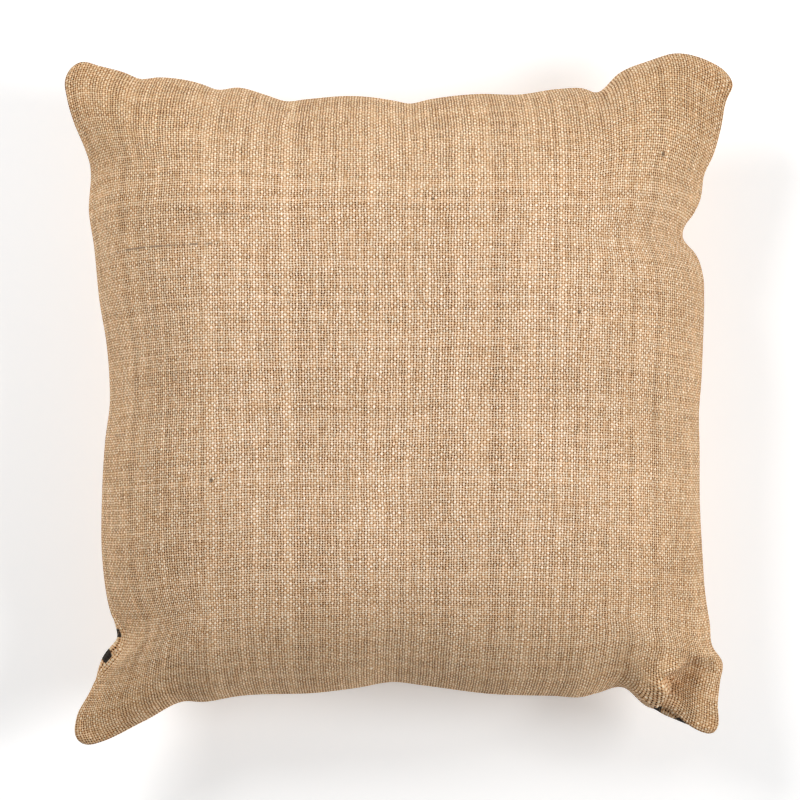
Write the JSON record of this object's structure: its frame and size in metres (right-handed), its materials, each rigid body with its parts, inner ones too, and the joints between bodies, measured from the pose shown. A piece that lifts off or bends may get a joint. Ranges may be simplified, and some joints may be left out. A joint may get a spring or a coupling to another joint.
{
  "type": "ring bearer pillow",
  "caption": "Square stuffed burlap pillow with pointed corners, a plain woven face, a printed underside and a concealed zipper along the bottom edge.",
  "frame": {"origin": "centre of the bounding box at its base, where the flattened printed face rests", "axes": "+Z up out of the plain face, +Y towards the edge opposite the zipper, +X to the right when the plain face is seen from above with +Y up"},
  "size_m": [0.4384, 0.4538, 0.1407],
  "materials": {
    "burlap": "coarse plain-weave natural jute, matt",
    "printed_burlap": "coarse plain-weave natural jute with a black printed border, matt",
    "thread": "spun polyester sewing thread",
    "zipper_tape": "woven polyester tape",
    "zipper_coil": "moulded nylon monofilament, satin",
    "antique_brass": "antiqued, semi-polished",
    "insert_cloth": "white plain-weave cotton",
    "polyester_fibre": "loose white hollow-fibre filling",
    "label_satin": "blank woven satin"
  },
  "bodies": {
    "pillow": {"plain_panel": "burlap", "printed_panel": "printed_burlap", "seam_thread": "thread", "overlock_edging": "thread", "care_label": "label_satin", "zipper_tape_upper": "zipper_tape", "zipper_tape_lower": "zipper_tape", "zipper_coil_upper": "zipper_coil", "zipper_coil_lower": "zipper_coil", "tape_stitch_upper": "thread", "tape_stitch_lower": "thread", "top_stop_upper": "antique_brass", "top_stop_lower": "antique_brass", "bottom_stop": "antique_brass", "bar_tack_left": "thread", "bar_tack_right": "thread", "insert_upper_shell": "insert_cloth", "insert_lower_shell": "insert_cloth", "fibre_filling": "polyester_fibre", "insert_label": "label_satin"},
    "slider": {"zipper_slider": "antique_brass"},
    "pull_tab": {"zipper_pull": "antique_brass"}
  },
  "joints": [
    {"name": "zipper_slide", "type": "slide", "parent": "pillow", "child": "slider", "axis": [-1, 0, 0], "range_m": [0, 0.233]},
    {"name": "pull_hinge", "type": "hinge", "parent": "slider", "child": "pull_tab", "pos_m": [0.12849, -0.18519, 0.066], "axis": [0, 0, 1], "range_deg": [0, 170]}
  ]
}
